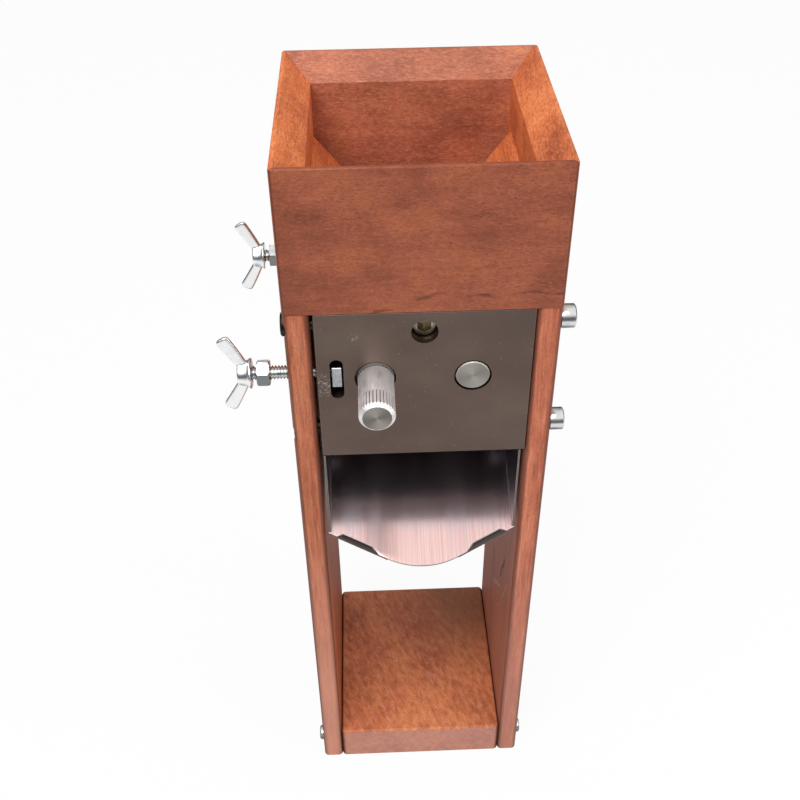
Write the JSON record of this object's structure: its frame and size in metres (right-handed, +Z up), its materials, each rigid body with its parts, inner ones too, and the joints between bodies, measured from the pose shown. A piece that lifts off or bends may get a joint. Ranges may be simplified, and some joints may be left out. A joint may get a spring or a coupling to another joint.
{
  "type": "hand crank grain flaker",
  "caption": "Tall wooden grain flaker with a square hopper over two fluted rollers, wing screws for the gap and a sheet chute above a catch space.",
  "frame": {"origin": "on the table, at the middle of the two side boards and of the mill's depth", "axes": "+Z up along the side boards, -Y to the front with the drive shaft, X from board to board"},
  "size_m": [0.1449, 0.1349, 0.3755],
  "materials": {
    "side_board_wood": "oiled",
    "base_wood": "oiled",
    "hopper_wood": "oiled",
    "guide_wood": "oiled",
    "dowel_wood": "plain",
    "plate_steel": "satin",
    "roller_steel": "machined",
    "shaft_steel": "machined",
    "bearing_bronze": "machined",
    "zinc_steel": "bright zinc",
    "black_steel": "black oxide",
    "chute_steel": "brushed"
  },
  "bodies": {
    "frame": {"left_board": "side_board_wood", "right_board": "side_board_wood", "base_board": "base_wood", "hopper_front": "hopper_wood", "hopper_rear": "hopper_wood", "hopper_left": "hopper_wood", "hopper_right": "hopper_wood", "feed_guide_left": "guide_wood", "feed_guide_right": "guide_wood", "feed_guide_rear": "guide_wood", "hopper_dowels": "dowel_wood", "base_screws": "zinc_steel", "front_plate": "plate_steel", "rear_plate": "plate_steel", "tie_rod": "shaft_steel", "tie_rod_screws": "zinc_steel", "right_plate_screws": "zinc_steel", "left_plate_screws": "black_steel", "idler_bushes": "bearing_bronze", "captive_nut_front": "zinc_steel", "captive_nut_rear": "zinc_steel", "chute": "chute_steel", "chute_spacers": "zinc_steel", "chute_screws": "zinc_steel"},
    "idler": {"idler_roller": "roller_steel", "idler_shaft": "shaft_steel", "idler_thrust_washers": "roller_steel"},
    "carriage": {"bearing_block_front": "bearing_bronze", "bearing_block_rear": "bearing_bronze"},
    "drive": {"drive_roller": "roller_steel", "drive_shaft": "shaft_steel", "drive_thrust_washers": "roller_steel"},
    "front_adjuster": {"adjuster_stud_front": "zinc_steel", "jam_nut_front": "zinc_steel", "wing_nut_front": "zinc_steel"},
    "rear_adjuster": {"adjuster_stud_rear": "zinc_steel", "jam_nut_rear": "zinc_steel", "wing_nut_rear": "zinc_steel"}
  },
  "joints": [
    {"name": "idler_spin", "type": "hinge", "parent": "frame", "child": "idler", "pos_m": [0.0207, 0, 0.28], "axis": [0, 1, 0], "continuous": true},
    {"name": "gap_slide", "type": "slide", "parent": "frame", "child": "carriage", "axis": [1, 0, 0], "range_m": [-0.001, 0.0005]},
    {"name": "drive_spin", "type": "hinge", "parent": "carriage", "child": "drive", "pos_m": [-0.0193, 0, 0.28], "axis": [0, 1, 0], "continuous": true},
    {"name": "front_wing_turn", "type": "hinge", "parent": "carriage", "child": "front_adjuster", "pos_m": [-0.0555, -0.0455, 0.28], "axis": [1, 0, 0], "range_deg": [-360, 180]},
    {"name": "rear_wing_turn", "type": "hinge", "parent": "carriage", "child": "rear_adjuster", "pos_m": [-0.0555, 0.0455, 0.28], "axis": [1, 0, 0], "range_deg": [-360, 180]}
  ],
  "couplings": [
    {"joint": "idler_spin", "follows": "drive_spin", "ratio": -1},
    {"joint": "front_wing_turn", "follows": "gap_slide", "rad_per_m": 6283.2},
    {"joint": "rear_wing_turn", "follows": "gap_slide", "rad_per_m": 6283.2}
  ]
}
